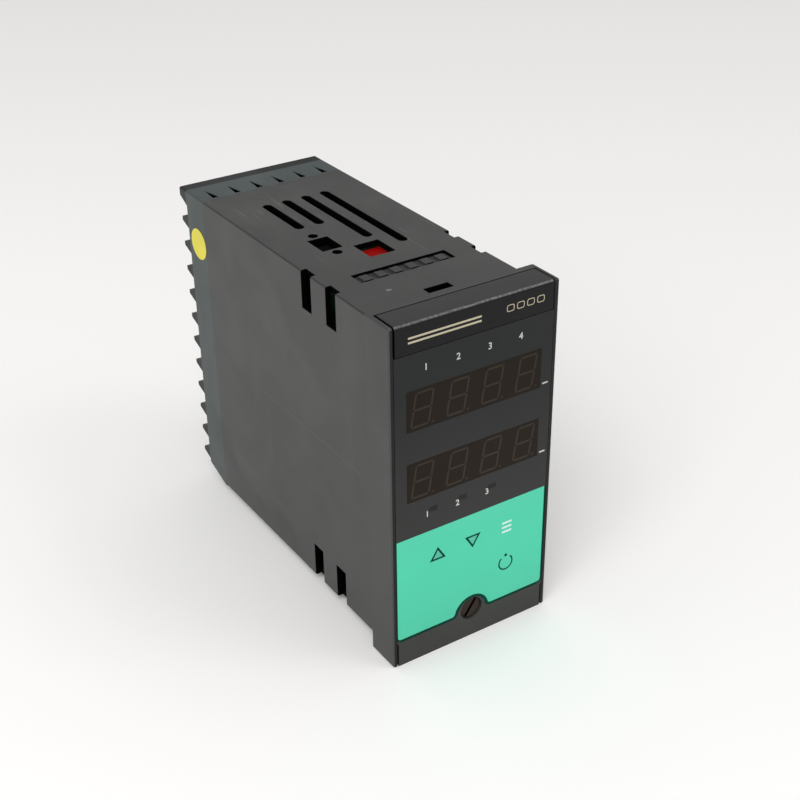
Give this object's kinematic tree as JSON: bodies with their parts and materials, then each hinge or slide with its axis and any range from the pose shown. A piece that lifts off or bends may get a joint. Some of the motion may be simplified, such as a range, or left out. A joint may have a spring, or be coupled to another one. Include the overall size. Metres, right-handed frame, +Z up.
{
  "type": "panel-mount pid temperature controller",
  "caption": "Panel-mount temperature controller: tall narrow front with two smoked displays, four keys and a screw, on a deep vented sleeve with rear terminals; the instrument draws out.",
  "frame": {"origin": "middle of the underside of the box: half-way across, half-way between the front face and the tips of the rear teeth, at the foot of the flange", "axes": "+X to the right seen from the front, +Y from the front face towards the rear, +Z up"},
  "size_m": [0.048, 0.111, 0.096],
  "materials": {
    "housing_plastic": "fine satin texture, dark warm grey",
    "block_plastic": "satin, dark blue-green grey",
    "sticker": "printed yellow film",
    "brass": "turned",
    "tinned_copper": "tinned",
    "zinc_steel": "zinc plated",
    "cap_plastic": "satin, dark grey",
    "mask_plastic": "satin, dark grey",
    "film": "printed film, dark grey above and turquoise below",
    "smoked_pane": "smoked brown-black",
    "display_case": "dark epoxy and plastic",
    "lamp": "tinted resin, unlit",
    "key_plastic": "pale grey",
    "switch_stem": "black",
    "switch_case": "black with a metal cover",
    "circuit_board": "green solder mask",
    "connector_plastic": "black",
    "red_plastic": "red",
    "relay_case": "dark blue-black case",
    "ferrite": "sintered ferrite",
    "coil_tape": "yellow tape over the winding",
    "capacitor_can": "dark sleeve with an aluminium end",
    "chip_resin": "black resin",
    "dark_screw": "dark brown burnished steel",
    "spring_steel": "spring steel"
  },
  "bodies": {
    "housing": {"housing": "housing_plastic", "rear_terminal_block": "block_plastic", "yellow_dot": "sticker", "screw_insert": "brass", "left_terminal_contacts": "tinned_copper", "right_terminal_contacts": "tinned_copper", "left_clamp_washers": "zinc_steel", "right_clamp_washers": "zinc_steel", "left_terminal_screws": "zinc_steel", "right_terminal_screws": "zinc_steel"},
    "instrument": {"name_cap": "cap_plastic", "front_mask": "mask_plastic", "front_film": "film", "upper_filter": "smoked_pane", "lower_filter": "smoked_pane", "upper_display": "display_case", "lower_display": "display_case", "output_lamps": "lamp", "loop_lamps": "lamp", "key_switches": "switch_case", "display_board": "circuit_board", "board_screws": "zinc_steel", "input_board": "circuit_board", "power_board": "circuit_board", "left_header": "connector_plastic", "right_header": "connector_plastic", "left_rear_socket": "connector_plastic", "right_rear_socket": "connector_plastic", "option_board": "circuit_board", "service_plug": "red_plastic", "port_socket": "connector_plastic", "relay_1": "relay_case", "relay_2": "relay_case", "relay_3": "relay_case", "relay_4": "relay_case", "transformer_core": "ferrite", "transformer_coil": "coil_tape", "large_capacitor": "capacitor_can", "small_capacitor": "capacitor_can", "processor": "chip_resin", "converter_chip": "chip_resin", "board_spacer": "connector_plastic"},
    "raise_button": {"raise_key": "key_plastic", "raise_stem": "switch_stem"},
    "lower_button": {"lower_key": "key_plastic", "lower_stem": "switch_stem"},
    "menu_button": {"menu_key": "key_plastic", "menu_stem": "switch_stem"},
    "mode_button": {"mode_key": "key_plastic", "mode_stem": "switch_stem"},
    "fixing_screw": {"retaining_screw": "dark_screw", "screw_clip": "spring_steel"}
  },
  "joints": [
    {"name": "draw_out", "type": "slide", "parent": "housing", "child": "instrument", "axis": [0, -1, 0], "range_m": [0, 0.09]},
    {"name": "raise_press", "type": "slide", "parent": "instrument", "child": "raise_button", "axis": [0, 1, 0], "range_m": [0, 0.0003], "stiffness_N_per_m": 1500, "springref_m": -0.0004},
    {"name": "lower_press", "type": "slide", "parent": "instrument", "child": "lower_button", "axis": [0, 1, 0], "range_m": [0, 0.0003], "stiffness_N_per_m": 1500, "springref_m": -0.0004},
    {"name": "menu_press", "type": "slide", "parent": "instrument", "child": "menu_button", "axis": [0, 1, 0], "range_m": [0, 0.0003], "stiffness_N_per_m": 1500, "springref_m": -0.0004},
    {"name": "mode_press", "type": "slide", "parent": "instrument", "child": "mode_button", "axis": [0, 1, 0], "range_m": [0, 0.0003], "stiffness_N_per_m": 1500, "springref_m": -0.0004},
    {"name": "screw_turn", "type": "hinge", "parent": "instrument", "child": "fixing_screw", "pos_m": [0, -0.0535, 0.0087], "axis": [0, 1, 0], "continuous": true}
  ]
}
